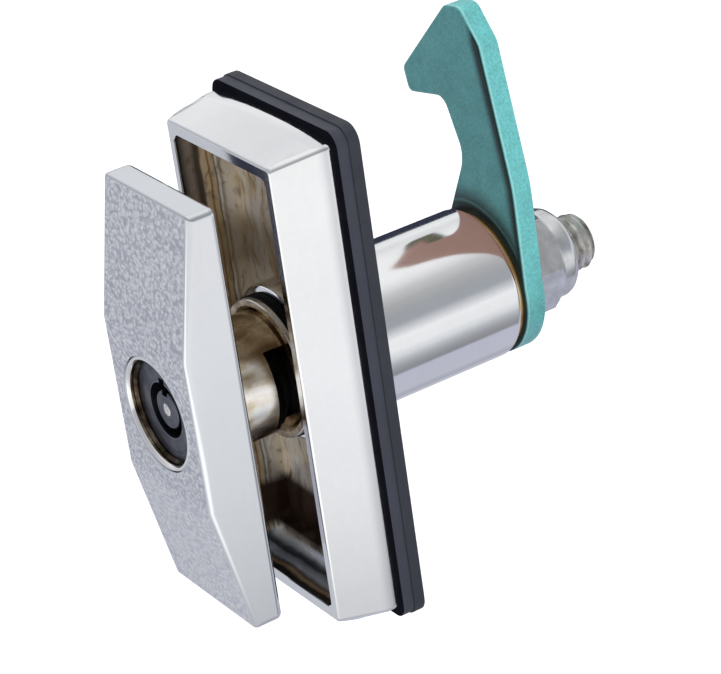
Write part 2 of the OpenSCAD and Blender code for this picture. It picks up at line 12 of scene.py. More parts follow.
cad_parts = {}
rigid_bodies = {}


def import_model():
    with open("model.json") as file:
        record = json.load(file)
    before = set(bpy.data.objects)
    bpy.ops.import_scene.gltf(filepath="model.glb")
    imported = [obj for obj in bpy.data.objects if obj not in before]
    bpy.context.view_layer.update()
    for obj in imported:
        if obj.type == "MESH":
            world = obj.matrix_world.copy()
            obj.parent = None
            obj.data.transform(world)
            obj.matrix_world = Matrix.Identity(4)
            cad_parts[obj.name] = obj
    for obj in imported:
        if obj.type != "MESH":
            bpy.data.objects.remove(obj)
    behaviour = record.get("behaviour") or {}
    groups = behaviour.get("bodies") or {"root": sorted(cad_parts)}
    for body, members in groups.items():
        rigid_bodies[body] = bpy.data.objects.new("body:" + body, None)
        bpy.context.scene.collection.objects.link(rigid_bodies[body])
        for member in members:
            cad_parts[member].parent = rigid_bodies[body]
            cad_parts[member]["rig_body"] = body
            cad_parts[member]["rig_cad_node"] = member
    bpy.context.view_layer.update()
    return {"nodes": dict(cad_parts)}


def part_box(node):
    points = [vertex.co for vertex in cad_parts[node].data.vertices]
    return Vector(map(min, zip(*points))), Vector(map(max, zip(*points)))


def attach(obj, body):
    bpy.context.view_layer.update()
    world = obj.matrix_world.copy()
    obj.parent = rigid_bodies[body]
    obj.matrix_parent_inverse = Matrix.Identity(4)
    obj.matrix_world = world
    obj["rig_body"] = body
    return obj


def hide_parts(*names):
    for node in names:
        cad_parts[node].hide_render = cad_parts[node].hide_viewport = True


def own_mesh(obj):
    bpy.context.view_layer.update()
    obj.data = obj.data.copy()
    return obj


bl_info = {
    "name": "Pop-out T-handle lock",
    "version": (1, 0, 0),
    "blender": (4, 5, 0),
    "location": "View3D > Sidebar > Lock",
    "description": "Dresses a pop-out T-handle lock with castings and metal, rubber and paint finishes",
    "category": "Object",
}

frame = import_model()
MM = 0.001

# Planes along the lock's axis and radii about it, in millimetres, as the solids have them
BAR_BACK = -23.1
BAR_FRONT = -32.9
PAN_FRONT = -14.65
PAN_CREASE = -6.0
PAN_REAR = -4.0
CAST_REAR = -0.4
FLOOR = -3.5
SEAT = -7.65
COLLAR = -9.5
BARREL_END = 29.4
STEM_R = 10.05
POCKET_R = 12.41
BARREL_R = 13.0
BARREL_HOLE_R = 12.6
BORE_R = 11.26

# Half the width and height of the pan's rear and of the recess's mouth, in millimetres
PAN_X = 17.2
PAN_Z = 42.25
RECESS_X = 13.8
RECESS_Z = 38.1

# How near points have to be to merge, in millimetres, and the angles between faces, in degrees, below
# which they count as flat or smooth and above which an edge is broken
MERGE = 0.002
FLAT_ANGLE = 0.4
SMOOTH_ANGLE = 32
SHARP_ANGLE = 38

# The studio floor, in metres
FLOOR_LEVEL = -0.085


# Modelling helpers

def settle():
    """Leaves edit mode and deselects all objects."""
    if bpy.context.object and bpy.context.object.mode != "OBJECT":
        bpy.ops.object.mode_set(mode="OBJECT")
    bpy.ops.object.select_all(action="DESELECT")


def only(piece):
    """Makes a piece the active object and the only one selected."""
    settle()
    piece.select_set(True)
    bpy.context.view_layer.objects.active = piece


def open_all(piece):
    """Opens a piece in edit mode with all of it selected."""
    only(piece)
    bpy.ops.object.mode_set(mode="EDIT")
    bpy.ops.mesh.select_mode(type="VERT")
    bpy.ops.mesh.select_all(action="SELECT")


def modify(piece, kind, **settings):
    """Gives a piece a modifier with its settings and applies it."""
    only(piece)
    step = piece.modifiers.new(kind.lower(), kind)
    for key, value in settings.items():
        setattr(step, key, value)
    bpy.ops.object.modifier_apply(modifier=step.name)


def named(name):
    """Names the primitive that was just added and puts its place into its mesh."""
    piece = bpy.context.object
    piece.name = name
    piece.data.name = name
    bpy.ops.object.transform_apply(location=True, rotation=True, scale=True)
    return piece


def block(name, low, high):
    """A box between two corners, in millimetres."""
    low, high = Vector(low) * MM, Vector(high) * MM
    settle()
    bpy.ops.mesh.primitive_cube_add(size=1, location=(low + high) / 2, scale=high - low)
    return named(name)


def drum(name, radius, y0, y1, steps=96, z=0):
    """A round bar along the lock's axis or beside it, in millimetres."""
    settle()
    bpy.ops.mesh.primitive_cylinder_add(
        vertices=steps, radius=radius * MM, depth=(y1 - y0) * MM,
        location=(0, (y0 + y1) / 2 * MM, z * MM), rotation=(math.pi / 2, 0, 0))
    return named(name)


def pick(piece, kind, test):
    """Opens a piece in edit mode and selects its verts, edges or faces that pass a test of their place."""
    only(piece)
    bpy.ops.object.mode_set(mode="EDIT")
    bpy.ops.mesh.select_mode(type={"verts": "VERT", "edges": "EDGE", "faces": "FACE"}[kind])
    bpy.ops.mesh.select_all(action="DESELECT")
    shape = bmesh.from_edit_mesh(piece.data)
    for item in getattr(shape, kind):
        item.select_set(bool(test(item)))
    shape.select_flush_mode()
    bmesh.update_edit_mesh(piece.data)


def middle(item):
    """The middle of a vertex, edge or face, in millimetres."""
    if isinstance(item, bmesh.types.BMVert):
        return item.co / MM
    points = [v.co for v in item.verts]
    return sum(points, Vector()) / len(points) / MM


def along(edge):
    """Whether an edge runs along the lock's axis."""
    return abs(edge.verts[0].co.y - edge.verts[1].co.y) > MM


def at_level(y):
    """A test for edges that lie across the lock's axis at one level, in millimetres."""
    return lambda edge: all(abs(v.co.y / MM - y) < 0.01 for v in edge.verts)


def start_line(name, radius, y):
    """A single selected vertex at a radius and a level in millimetres, open in edit mode."""
    settle()
    bpy.ops.mesh.primitive_plane_add(size=MM, location=(radius * MM, y * MM, 0))
    piece = named(name)
    open_all(piece)
    bpy.ops.mesh.merge(type="CENTER")
    return piece


def draw_line(steps):
    """Draws a line on from the selected vertex by (across, along) steps in millimetres."""
    for across, on in steps:
        bpy.ops.mesh.extrude_vertices_move(TRANSFORM_OT_translate={"value": (across * MM, on * MM, 0)})


def turned(name, profile, steps=96, angle=360):
    """Turns a profile of (radius, y) points in millimetres about the lock's axis, from +X towards -Z."""
    piece = start_line(name, *profile[0])
    draw_line([(here[0] - last[0], here[1] - last[1]) for last, here in zip(profile, profile[1:])])
    bpy.ops.mesh.select_all(action="SELECT")
    if profile[0] != profile[-1] and angle < 360:
        bpy.ops.mesh.edge_face_add()
        bpy.ops.mesh.select_all(action="SELECT")
    bpy.ops.mesh.spin(steps=steps, angle=math.radians(angle), center=(0, 0, 0), axis=(0, 1, 0))
    tidy(piece)
    return piece


def wind_up(piece, pitch, turns, steps):
    """Winds a profile about the lock's axis, with its pitch in millimetres."""
    modify(piece, "SCREW", axis="Y", angle=math.tau, screw_offset=pitch * MM, iterations=turns, steps=steps,
           render_steps=steps, use_merge_vertices=True)


def tidy(piece):
    """Merges a piece's doubles and points its faces outwards."""
    open_all(piece)
    bpy.ops.mesh.remove_doubles(threshold=MERGE * MM)
    bpy.ops.mesh.normals_make_consistent(inside=False)
    settle()


def split_at(piece, point, normal):
    """Cuts an edge loop all round a piece at a plane, in millimetres."""
    open_all(piece)
    bpy.ops.mesh.bisect(plane_co=Vector(point) * MM, plane_no=normal)
    settle()


def shift(piece, test, step):
    """Moves the verts that pass a test by a step in millimetres."""
    pick(piece, "verts", test)
    bpy.ops.transform.translate(value=Vector(step) * MM)
    settle()


def stretch(piece, test, factors):
    """Scales the verts that pass a test about the origin."""
    pick(piece, "verts", test)
    bpy.ops.transform.resize(value=factors, center_override=(0, 0, 0))
    settle()


def round_off(piece, test, radius, steps):
    """Rounds the edges that pass a test to a radius in millimetres."""
    pick(piece, "edges", test)
    bpy.ops.mesh.bevel(offset_type="OFFSET", offset=radius * MM, segments=steps, profile=0.5, affect="EDGES")
    settle()


def round_shares(piece, shares, radius, steps):
    """Rounds sets of edges at once, each set to its own share of a radius in millimetres."""
    for test, share in shares:
        pick(piece, "edges", test)
        bpy.ops.transform.edge_bevelweight(value=share)
        settle()
    modify(piece, "BEVEL", width=radius * MM, segments=steps, limit_method="WEIGHT")


def carve(piece, tool, operation="DIFFERENCE"):
    """Cuts a tool out of a piece, or joins it on, and removes the tool."""
    modify(piece, "BOOLEAN", operation=operation, solver="EXACT", object=tool)
    bpy.data.objects.remove(tool)


def shade(piece):
    """Smooths the round faces of a piece and keeps its flat faces flat."""
    only(piece)
    bpy.ops.object.shade_smooth_by_angle(angle=math.radians(SMOOTH_ANGLE))
    modify(piece, "WEIGHTED_NORMAL", keep_sharp=True, weight=60)
    settle()


def copy_of(node, name, width, steps):
    """A merged copy of a solid, with its sharp edges broken by a width in millimetres."""
    only(frame["nodes"][node])
    bpy.ops.object.duplicate()
    piece = bpy.context.object
    piece.parent = None
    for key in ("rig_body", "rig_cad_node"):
        del piece[key]
    piece.name = name
    piece.data.name = name
    piece.data.materials.clear()
    bpy.ops.mesh.customdata_custom_splitnormals_clear()
    tidy(piece)
    open_all(piece)
    bpy.ops.mesh.dissolve_limited(angle_limit=math.radians(FLAT_ANGLE))
    settle()
    if width:
        modify(piece, "BEVEL", width=width * MM, segments=steps, limit_method="ANGLE",
               angle_limit=math.radians(SHARP_ANGLE), use_clamp_overlap=True)
    shade(piece)
    return piece


def paint(piece, key, test=None):
    """Gives a finish to a piece, or only to its faces that pass a test of centre (mm) and normal."""
    piece.data.materials.append(FINISHES[key])
    spot = len(piece.data.materials) - 1
    for face in piece.data.polygons:
        if test is None or test(face.center / MM, face.normal):
            face.material_index = spot


def seat(piece, body, node):
    """Puts a finished piece on its body, in place of the solid that it stands for."""
    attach(piece, body)
    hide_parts(node)


def dress(body, node, name, key, width=0.0, steps=2):
    """Puts a finished copy of a solid in its place."""
    piece = copy_of(node, name, width, steps)
    paint(piece, key)
    seat(piece, body, node)
    return piece


# Shader helpers

def tree_of(*values):
    """The shader tree of the first socket among some values."""
    return next(value.id_data for value in values if isinstance(value, bpy.types.NodeSocket))


def bare_tree(owner):
    """The emptied shader tree of a material or a world."""
    owner.use_nodes = True
    owner.node_tree.nodes.clear()
    return owner.node_tree


def plug(socket, value):
    """Links an input to the socket that feeds it, or gives it a value."""
    if isinstance(value, bpy.types.NodeSocket):
        socket.id_data.links.new(value, socket)
    elif socket.type == "RGBA" and len(value) == 3:
        socket.default_value = (*value, 1.0)
    else:
        socket.default_value = value


def add(owner, kind, settings=None, inputs=None):
    """Adds a shader node beside a socket or in a tree, with its settings and what its inputs are fed."""
    made = owner.id_data.nodes.new(kind)
    for key, value in (settings or {}).items():
        setattr(made, key, value)
    for key, value in (inputs or {}).items():
        plug(made.inputs[key], value)
    return made


def maths(operation, first, second=0.0, clamp=False):
    """One step of arithmetic."""
    made = add(tree_of(first, second), "ShaderNodeMath", {"operation": operation, "use_clamp": clamp},
               {0: first, 1: second})
    return made.outputs[0]


def plus(first, second):
    """The sum of two values."""
    return maths("ADD", first, second)


def less(first, second):
    """What is left of one value without another."""
    return maths("SUBTRACT", first, second)


def times(first, second):
    """The product of two values."""
    return maths("MULTIPLY", first, second)


def far(first, second):
    """The distance from an axis, from the two places across it."""
    return maths("SQRT", plus(times(first, first), times(second, second)))


def scaled(vector, share):
    """A colour or a place times a value."""
    made = add(tree_of(vector, share), "ShaderNodeVectorMath", {"operation": "SCALE"},
               {0: vector, "Scale": share})
    return made.outputs[0]


def vectors(operation, first, second):
    """One step of arithmetic on two places."""
    made = add(first, "ShaderNodeVectorMath", {"operation": operation}, {0: first, 1: second})
    return made.outputs[0]


def apart(place):
    """A place's X, Y and Z."""
    return add(place, "ShaderNodeSeparateXYZ", inputs={"Vector": place}).outputs


def ramp(value, stops):
    """A colour ramp with stops of (place, colour)."""
    made = add(value, "ShaderNodeValToRGB", inputs={"Fac": value})
    band = made.color_ramp
    while len(band.elements) < len(stops):
        band.elements.new(0.5)
    for spot, (place, colour) in zip(band.elements, stops):
        spot.position = place
        spot.color = (*colour, 1.0)
    return made.outputs["Color"]


def blend(share, first, second, kind="MIX"):
    """Mixes two colours by a mask."""
    made = add(tree_of(share, first, second), "ShaderNodeMix", {"data_type": "RGBA", "blend_type": kind},
               {0: share, 6: first, 7: second})
    return made.outputs[2]


def rise(value, low, high, first=0.0, last=1.0, kind="LINEAR"):
    """Goes from the first to the last value while another goes from low to high."""
    made = add(value, "ShaderNodeMapRange", {"interpolation_type": kind}, {
        "Value": value, "From Min": low, "From Max": high, "To Min": first, "To Max": last})
    return made.outputs[0]


def ease(value, low, high, first=0.0, last=1.0):
    """The same as rise, with a soft start and end."""
    return rise(value, low, high, first, last, "SMOOTHSTEP")


def within(value, low, high, edge):
    """A mask that is 1 where a value lies between two limits, with soft edges."""
    return times(ease(value, low - edge, low + edge), ease(value, high - edge, high + edge, 1.0, 0.0))


def between(value, low, high, edge):
    """The same as within, with limits in millimetres."""
    return within(value, low * MM, high * MM, edge * MM)


def noise(place, scale, detail, roughness=0.5, part="Fac"):
    """Cloudy noise."""
    made = add(place, "ShaderNodeTexNoise", inputs={
        "Vector": place, "Scale": scale, "Detail": detail, "Roughness": roughness})
    return made.outputs[part]


def group(name, inputs, outputs):
    """A shader node group that takes a place and named values and gives named values."""
    tree = bpy.data.node_groups.new(name, "ShaderNodeTree")
    tree.interface.new_socket(name="Vector", in_out="INPUT", socket_type="NodeSocketVector")
    for label, default in inputs.items():
        kind = "NodeSocketFloat" if isinstance(default, float) else "NodeSocketVector"
        tree.interface.new_socket(name=label, in_out="INPUT", socket_type=kind).default_value = default
    for label in outputs:
        tree.interface.new_socket(name=label, in_out="OUTPUT", socket_type="NodeSocketFloat")
    return tree.nodes.new("NodeGroupInput").outputs, tree.nodes.new("NodeGroupOutput").inputs


def use(name, place, **inputs):
    """Places a shader node group in a material with its own values."""
    effect = {"node_tree": bpy.data.node_groups[name]}
    return add(place, "ShaderNodeGroup", effect, {"Vector": place, **inputs}).outputs


def haze(place, size, low, high):
    """Handling haze between two values."""
    return use("handling_haze", place, Size=size, Low=low, High=high)["Value"]


def streaks(place, across, warp):
    """Drawn streaks, from how close they lie along each axis and how much they waver."""
    return use("drawn_streaks", place, Across=across, Warp=warp)["Value"]


def make_effects():
    """Builds the effects that several finishes share."""
    # Handling haze: soft cloudy patches with fine specks, as on plated metal
    given, out = group("handling_haze", {"Size": 60.0, "Low": 0.1, "High": 0.2}, ["Value"])
    cloud = noise(given["Vector"], given["Size"], 5.0, 0.6)
    speck = noise(given["Vector"], times(given["Size"], 14.0), 2.0)
    both = plus(times(cloud, 0.75), times(speck, 0.25))
    plug(out["Value"], rise(both, 0.32, 0.68, given["Low"], given["High"]))

    # Drawn streaks: long thin noise along one direction
    given, out = group("drawn_streaks", {"Across": (900.0, 900.0, 40.0), "Warp": 0.3}, ["Value"])
    bend = noise(given["Vector"], 90.0, 2.0, part="Color")
    place = vectors("ADD", given["Vector"], scaled(bend, times(given["Warp"], 0.004)))
    plug(out["Value"], noise(vectors("MULTIPLY", place, given["Across"]), 1.0, 4.0))

    # Hammered skin: raised beads of uneven size with narrow valleys
    given, out = group("hammered_skin", {"Cell": 1000.0}, ["Height", "Valley"])
    wander = noise(given["Vector"], times(given["Cell"], 0.7), 2.0, part="Color")
    place = vectors("ADD", given["Vector"], scaled(wander, 0.0011))
    beads = add(place, "ShaderNodeTexVoronoi", {"feature": "SMOOTH_F1"}, {
        "Vector": place, "Scale": given["Cell"], "Smoothness": 0.6})
    grain = noise(place, times(given["Cell"], 1.3), 3.0, 0.6)
    height = plus(times(less(1.0, beads.outputs["Distance"]), 0.6), times(grain, 0.4))
    plug(out["Height"], height)
    plug(out["Valley"], rise(height, 0.36, 0.70, 1.0, 0.0))


# Finishes, each under the short name that the pieces ask for

FINISHES = {}


def finish(key, name, metallic=1.0):
    """Starts a finish, as its Principled shader and the object's own coordinates."""
    made = bpy.data.materials.new(name)
    FINISHES[key] = made
    tree = bare_tree(made)
    shader = add(tree, "ShaderNodeBsdfPrincipled", inputs={"Metallic": metallic})
    add(tree, "ShaderNodeOutputMaterial", inputs={"Surface": shader.outputs["BSDF"]})
    return shader, add(tree, "ShaderNodeTexCoord").outputs["Object"]


def feed(shader, **inputs):
    """Links the shader's inputs by name."""
    for key, value in inputs.items():
        plug(shader.inputs[key.replace("_", " ").title()], value)


def bumpy(shader, height, strength, depth):
    """Feeds a height to the shader's normal, with its depth in millimetres."""
    made = add(shader, "ShaderNodeBump", inputs={
        "Height": height, "Strength": strength, "Distance": depth * MM})
    plug(shader.inputs["Normal"], made.outputs["Normal"])


def finish_plate(colours):
    """Bright plate outside the housing with a painted darker band along its sides, and painted reflections,
    highlights and shade in warm tones inside its recess.
    """
    shader, place = finish("plate", "plated_casting")
    x, y, z = apart(place)
    wide, high = RECESS_X + 0.15, RECESS_Z + 0.2
    inside = times(between(x, -wide, wide, 0.1), between(y, PAN_FRONT + 0.15, FLOOR + 0.2, 0.03))
    inside = times(inside, between(z, -high, high, 0.1))
    collar = times(between(far(x, z), 10, 13.34, 0.02), between(y, -12, -8.6, 0.2))
    inside = times(inside, less(1.0, collar))

    # Painted reflections on the recess's floor: warm streaks, pale patches and fine dark marks
    streak = streaks(place, (560.0, 300.0, 75.0), 1.6)
    patch = noise(place, 170.0, 5.0)
    warm = ramp(plus(times(streak, 0.55), times(patch, 0.45)), [
        (0.38, (0.20, 0.14, 0.08)), (0.44, (0.58, 0.45, 0.29)), (0.49, (0.90, 0.77, 0.57)),
        (0.54, (1.0, 0.93, 0.80)), (0.60, (1.0, 1.0, 0.96))])
    pale = ease(streaks(place, (330.0, 300.0, 70.0), 2.4), 0.50, 0.58)
    warm = blend(times(pale, 0.75), warm, (1.0, 0.95, 0.86))
    mark = times(rise(streaks(place, (1500.0, 900.0, 260.0), 2.0), 0.45, 0.33), 0.5)
    warm = blend(mark, warm, (0.22, 0.15, 0.09))

    # Painted reflections and highlights in bands that lie along the recess's left wall, from its mouth to its
    # floor
    mouth = plus(y, 14.35 * MM)
    sway = times(less(noise(place, 240.0, 3.0), 0.5), 0.06)
    wall_reflections = ramp(plus(maths("DIVIDE", mouth, 10.85 * MM), sway), [
        (0.0, (0.01, 0.01, 0.01)), (0.03, (0.12, 0.11, 0.11)), (0.10, (0.34, 0.30, 0.26)),
        (0.17, (0.44, 0.37, 0.31)), (0.25, (0.12, 0.10, 0.09)), (0.31, (0.16, 0.13, 0.10)),
        (0.345, (0.95, 0.80, 0.58)), (0.42, (0.95, 0.78, 0.54)), (0.445, (0.42, 0.20, 0.08)),
        (0.47, (0.86, 0.70, 0.46)), (0.52, (0.84, 0.72, 0.50)), (0.545, (0.22, 0.17, 0.11)),
        (0.56, (1.0, 1.0, 0.97)), (0.585, (1.0, 1.0, 0.97)), (0.605, (0.55, 0.46, 0.35)),
        (0.66, (1.0, 0.94, 0.84)), (0.85, (0.95, 0.86, 0.70)), (1.0, (0.80, 0.68, 0.50))])
    wall = rise(x, -12.95 * MM, -12.75 * MM)
    warm = blend(wall, blend(mark, wall_reflections, (0.16, 0.12, 0.08)), warm)

    # A darker band above the collar, painted shade at the recess's foot, and painted reflections in bands on
    # its lower end wall
    warm = blend(times(between(z, 12, 21, 2.5), 0.6), warm, (0.34, 0.25, 0.14))
    warm = blend(between(z, -36, -27.5, 1.2), warm, (0.07, 0.04, 0.025))
    end_wall_reflections = ramp(plus(maths("DIVIDE", mouth, 6.7 * MM), times(less(patch, 0.5), 0.25)), [
        (0.10, (0.02, 0.02, 0.02)), (0.20, (0.50, 0.36, 0.22)), (0.30, (0.14, 0.12, 0.11)),
        (0.42, (0.66, 0.76, 0.90)), (0.55, (0.42, 0.50, 0.62)), (0.65, (0.05, 0.06, 0.08)),
        (0.76, (0.16, 0.19, 0.24)), (0.88, (0.72, 0.82, 0.95)), (0.97, (1.0, 1.0, 1.0))])
    warm = blend(rise(z, -36.4 * MM, -37.2 * MM), warm, end_wall_reflections)

    # The outside, with painted shade: a darker band along the pan's sides where they turn in
    bright = scaled(colours.plate, haze(place, 70.0, 0.94, 1.0))
    # Painted shade: the pan's sides darker in a band just ahead of their rear edge
    fall = ramp(maths("DIVIDE", plus(y, 8 * MM), 4 * MM), [
        (0.25, (1.0, 1.0, 1.0)), (0.42, (0.93, 0.93, 0.94)), (0.56, (0.82, 0.82, 0.84)),
        (0.68, (0.745, 0.75, 0.77)), (0.77, (0.80, 0.805, 0.82)), (0.84, (1.0, 1.0, 1.0))])
    side = maths("GREATER_THAN", maths("ABSOLUTE", x), 16.3 * MM)
    # How much of the recess is matt rather than metal, more where the pale painted reflections lie
    matt_share = plus(0.35, times(pale, 0.4))
    feed(shader, base_color=blend(inside, blend(side, bright, fall, "MULTIPLY"), warm),
         roughness=plus(haze(place, 90.0, 0.08, 0.13), times(inside, 0.2)),
         metallic=less(1.0, times(inside, matt_share)))
    ripple = plus(times(noise(place, 110.0, 1.0), 0.12), times(times(streak, inside), 0.5))
    bumpy(shader, ripple, 0.35, 0.12)


def finish_handle(colours):
    """Hammered satin front with painted shade in its valleys, polished sides and edges, and the stem's plate
    with painted warm reflections and a painted highlight.
    """
    shader, place = finish("hammered", "hammered_front")
    wide = add(place, "ShaderNodeMapping", inputs={"Vector": place, "Scale": (0.8, 1.0, 1.0)})
    skin = use("hammered_skin", wide.outputs[0], Cell=colours.hammer_cell)
    # Painted shade and light: the hammered skin's valleys are painted darker, and less so low down, where the
    # lower facet is painted lighter
    lower_facet_light = rise(apart(place)["Z"], -10 * MM, -18 * MM, 1.0, 0.7)
    feed(shader, base_color=blend(times(skin["Valley"], lower_facet_light), colours.hammered, (0.56, 0.57, 0.61)),
         roughness=haze(place, 120.0, 0.30, 0.38))
    bumpy(shader, skin["Height"], 1.0, 0.2)

    shader, place = finish("polished", "polished_handle")
    feed(shader, base_color=scaled(colours.polished, haze(place, 60.0, 0.95, 1.0)),
         roughness=haze(place, 140.0, 0.07, 0.13))
    bumpy(shader, noise(place, 130.0, 1.0), 0.2, 0.05)

    # The stem's plate: painted warm reflections in streaks, with a painted highlight in a band across its
    # middle
    shader, place = finish("warm", "warm_plate")
    streak = streaks(place, (260.0, 60.0, 420.0), 1.2)
    mid_highlight = between(apart(place)["Z"], -5.0, 4.4, 2.2)
    mixed = plus(plus(times(streak, 0.5), times(noise(place, 210.0, 4.0), 0.5)), times(mid_highlight, 0.16))
    tone = ramp(mixed, [
        (0.34, (0.10, 0.065, 0.035)), (0.46, (0.36, 0.26, 0.16)), (0.55, (0.62, 0.52, 0.38)),
        (0.63, (0.86, 0.80, 0.70)), (0.70, (0.95, 0.94, 0.92))])
    feed(shader, base_color=tone, roughness=haze(place, 160.0, 0.16, 0.3))
    bumpy(shader, streak, 0.25, 0.05)


def finish_steels():
    """Fine turned steel, and the patchy steels and zinc plates of the stud, nut, washer and hard pins."""
    shader, place = finish("turned", "turned_steel")
    x, y, z = apart(place)
    lines = streaks(place, (60.0, 3800.0, 60.0), 0.1)
    # The spindle's flange is brown in patches where it shows in the recess
    flange = times(between(y, -13, -11.3, 0.05), between(far(x, z), 5, 11.72, 0.06))
    flange_browns = ramp(noise(place, 260.0, 4.0), [
        (0.38, (0.10, 0.065, 0.04)), (0.52, (0.36, 0.27, 0.17)), (0.66, (0.62, 0.54, 0.42))])
    tone = blend(lines, (0.60, 0.59, 0.58), (0.90, 0.90, 0.92))
    feed(shader, base_color=blend(flange, tone, flange_browns), roughness=haze(place, 200.0, 0.2, 0.32))
    bumpy(shader, lines, 0.2, 0.03)

    for key, name, scale, detail, stops, gloss, relief in (
            ("stud", "stud_steel", 420.0, 4.0,
             [(0.32, (0.30, 0.28, 0.25)), (0.5, (0.62, 0.60, 0.56)), (0.68, (0.84, 0.83, 0.80))],
             (300.0, 0.3, 0.48), (0.3, 0.05)),
            ("nut", "zinc_nut", 380.0, 5.0,
             [(0.34, (0.60, 0.61, 0.61)), (0.52, (0.70, 0.71, 0.72)), (0.7, (0.82, 0.83, 0.84))],
             (260.0, 0.14, 0.24), (0.2, 0.03)),
            ("yellow", "yellow_zinc", 220.0, 4.0,
             [(0.35, (0.52, 0.38, 0.14)), (0.5, (0.74, 0.62, 0.28)), (0.66, (0.72, 0.70, 0.45))],
             (240.0, 0.28, 0.4), None),
            ("hard", "hard_steel", 700.0, 3.0,
             [(0.35, (0.56, 0.52, 0.47)), (0.6, (0.88, 0.86, 0.83))],
             (400.0, 0.16, 0.3), None)):
        shader, place = finish(key, name)
        patch = noise(place, scale, detail)
        feed(shader, base_color=ramp(patch, stops), roughness=haze(place, *gloss))
        if relief:
            bumpy(shader, patch, *relief)


def finish_cam(colours):
    """Teal coat: speckled, with painted shade beside the barrel and along the arm's edge, a painted highlight
    along its front edge, and a painted reflection colour for glossy rays.
    """
    shader, place = finish("teal", "teal_coat", 0.35)
    shader.inputs["Coat Roughness"].default_value = 0.3
    x, y, z = apart(place)
    mixed = plus(times(noise(place, 2400.0, 2.0), 0.65), times(noise(place, 260.0, 3.0), 0.35))
    deep, pale, black = ([min(1.0, c * share) for c in colours.teal] for share in (0.84, 1.14, 0.03))
    tone = ramp(mixed, [(0.38, deep), (0.5, colours.teal), (0.62, pale)])

    # Painted shade along the arm's edge, which nears the middle towards the tip
    reach, widest = 50 * MM, 14.3 * MM
    edge = ramp(maths("DIVIDE", z, reach), [
        (0.0, (0.90,) * 3), (0.40, (0.875,) * 3), (0.60, (0.72,) * 3), (0.88, (0.50,) * 3)])
    edge_shade = ease(less(times(edge, widest), x), 2.6 * MM, 0.4 * MM)
    face = rise(y, 30.62 * MM, 30.42 * MM)
    # Painted shade on the front face beside the barrel, with a paler painted arc within it
    round_axis = far(x, z)
    ring = between(round_axis, 14.0, 14.5, 0.25)
    barrel_shade = maths("SUBTRACT", ease(round_axis, 18.5 * MM, 13.6 * MM), times(ring, 0.35), clamp=True)
    dark = times(face, maths("MAXIMUM", barrel_shade, edge_shade))
    tone = blend(times(dark, 0.96), tone, black)
    # A painted highlight along the cam's front edge
    edge_highlight = between(y, 30.66, 30.98, 0.1)
    tone = blend(times(edge_highlight, 0.45), tone, (0.55, 0.92, 0.90))
    # Painted shade: the front face and the cam's lower part darker
    low = rise(z, 7 * MM, -4 * MM)
    tone = blend(maths("MAXIMUM", times(face, 0.30), times(low, 0.22)), tone, (0.0, 0.01, 0.01))

    # Painted reflection: glossy rays see the cam brown and its tip and edges olive, so the barrel mirrors it
    # so; the nut behind it mirrors teal
    behind = rise(y, 34.0 * MM, 34.15 * MM)
    mirrored = times(add(place, "ShaderNodeLightPath").outputs["Is Glossy Ray"], less(1.0, behind))
    olive = maths("MAXIMUM", ease(x, -8.5 * MM, -12.5 * MM), less(1.0, face))
    tone = blend(mirrored, tone, blend(olive, (0.66, 0.38, 0.29), (0.20, 0.19, 0.11)))
    feed(shader, base_color=tone, coat_weight=less(0.12, times(dark, 0.12)),
         roughness=haze(place, 320.0, 0.34, 0.5))
    bumpy(shader, mixed, 0.3, 0.04)


def finish_soft(colours):
    """Moulded rubber of the gasket, darker rubber painted as shade on its face behind the pan, smooth rubber
    of the seal, and nylon.
    """
    shader, place = finish("gasket", "gasket_rubber", 0.0)
    low, high = ([c * share for c in colours.rubber] for share in (0.8, 1.25))
    tone = blend(noise(place, 150.0, 5.0), low, high)
    half = rise(apart(place)["Y"], -2.15 * MM, -1.9 * MM)
    feed(shader, base_color=blend(half, scaled(tone, 1.5), tone), roughness=haze(place, 200.0, 0.5, 0.68))
    bumpy(shader, noise(place, 2600.0, 2.0), 0.2, 0.03)

    # The shaded rubber is painted darker, as shade on the gasket's front face behind the pan
    for key, name, scale, shine, low, high, gloss in (
            ("shaded", "shaded_rubber", 300.0, 0.06,
             (0.002, 0.002, 0.006), (0.006, 0.006, 0.014), (0.7, 0.9)),
            ("seal", "seal_rubber", 260.0, 0.08,
             (0.003, 0.003, 0.004), (0.0048, 0.0048, 0.0064), (0.4, 0.55)),
            ("nylon", "nylon", 260.0, 0.5,
             (0.05, 0.10, 0.26), (0.08, 0.16, 0.416), (0.35, 0.5))):
        shader, place = finish(key, name, 0.0)
        shader.inputs["Specular IOR Level"].default_value = shine
        feed(shader, base_color=blend(noise(place, scale, 3.0), low, high),
             roughness=haze(place, 200.0, *gloss))


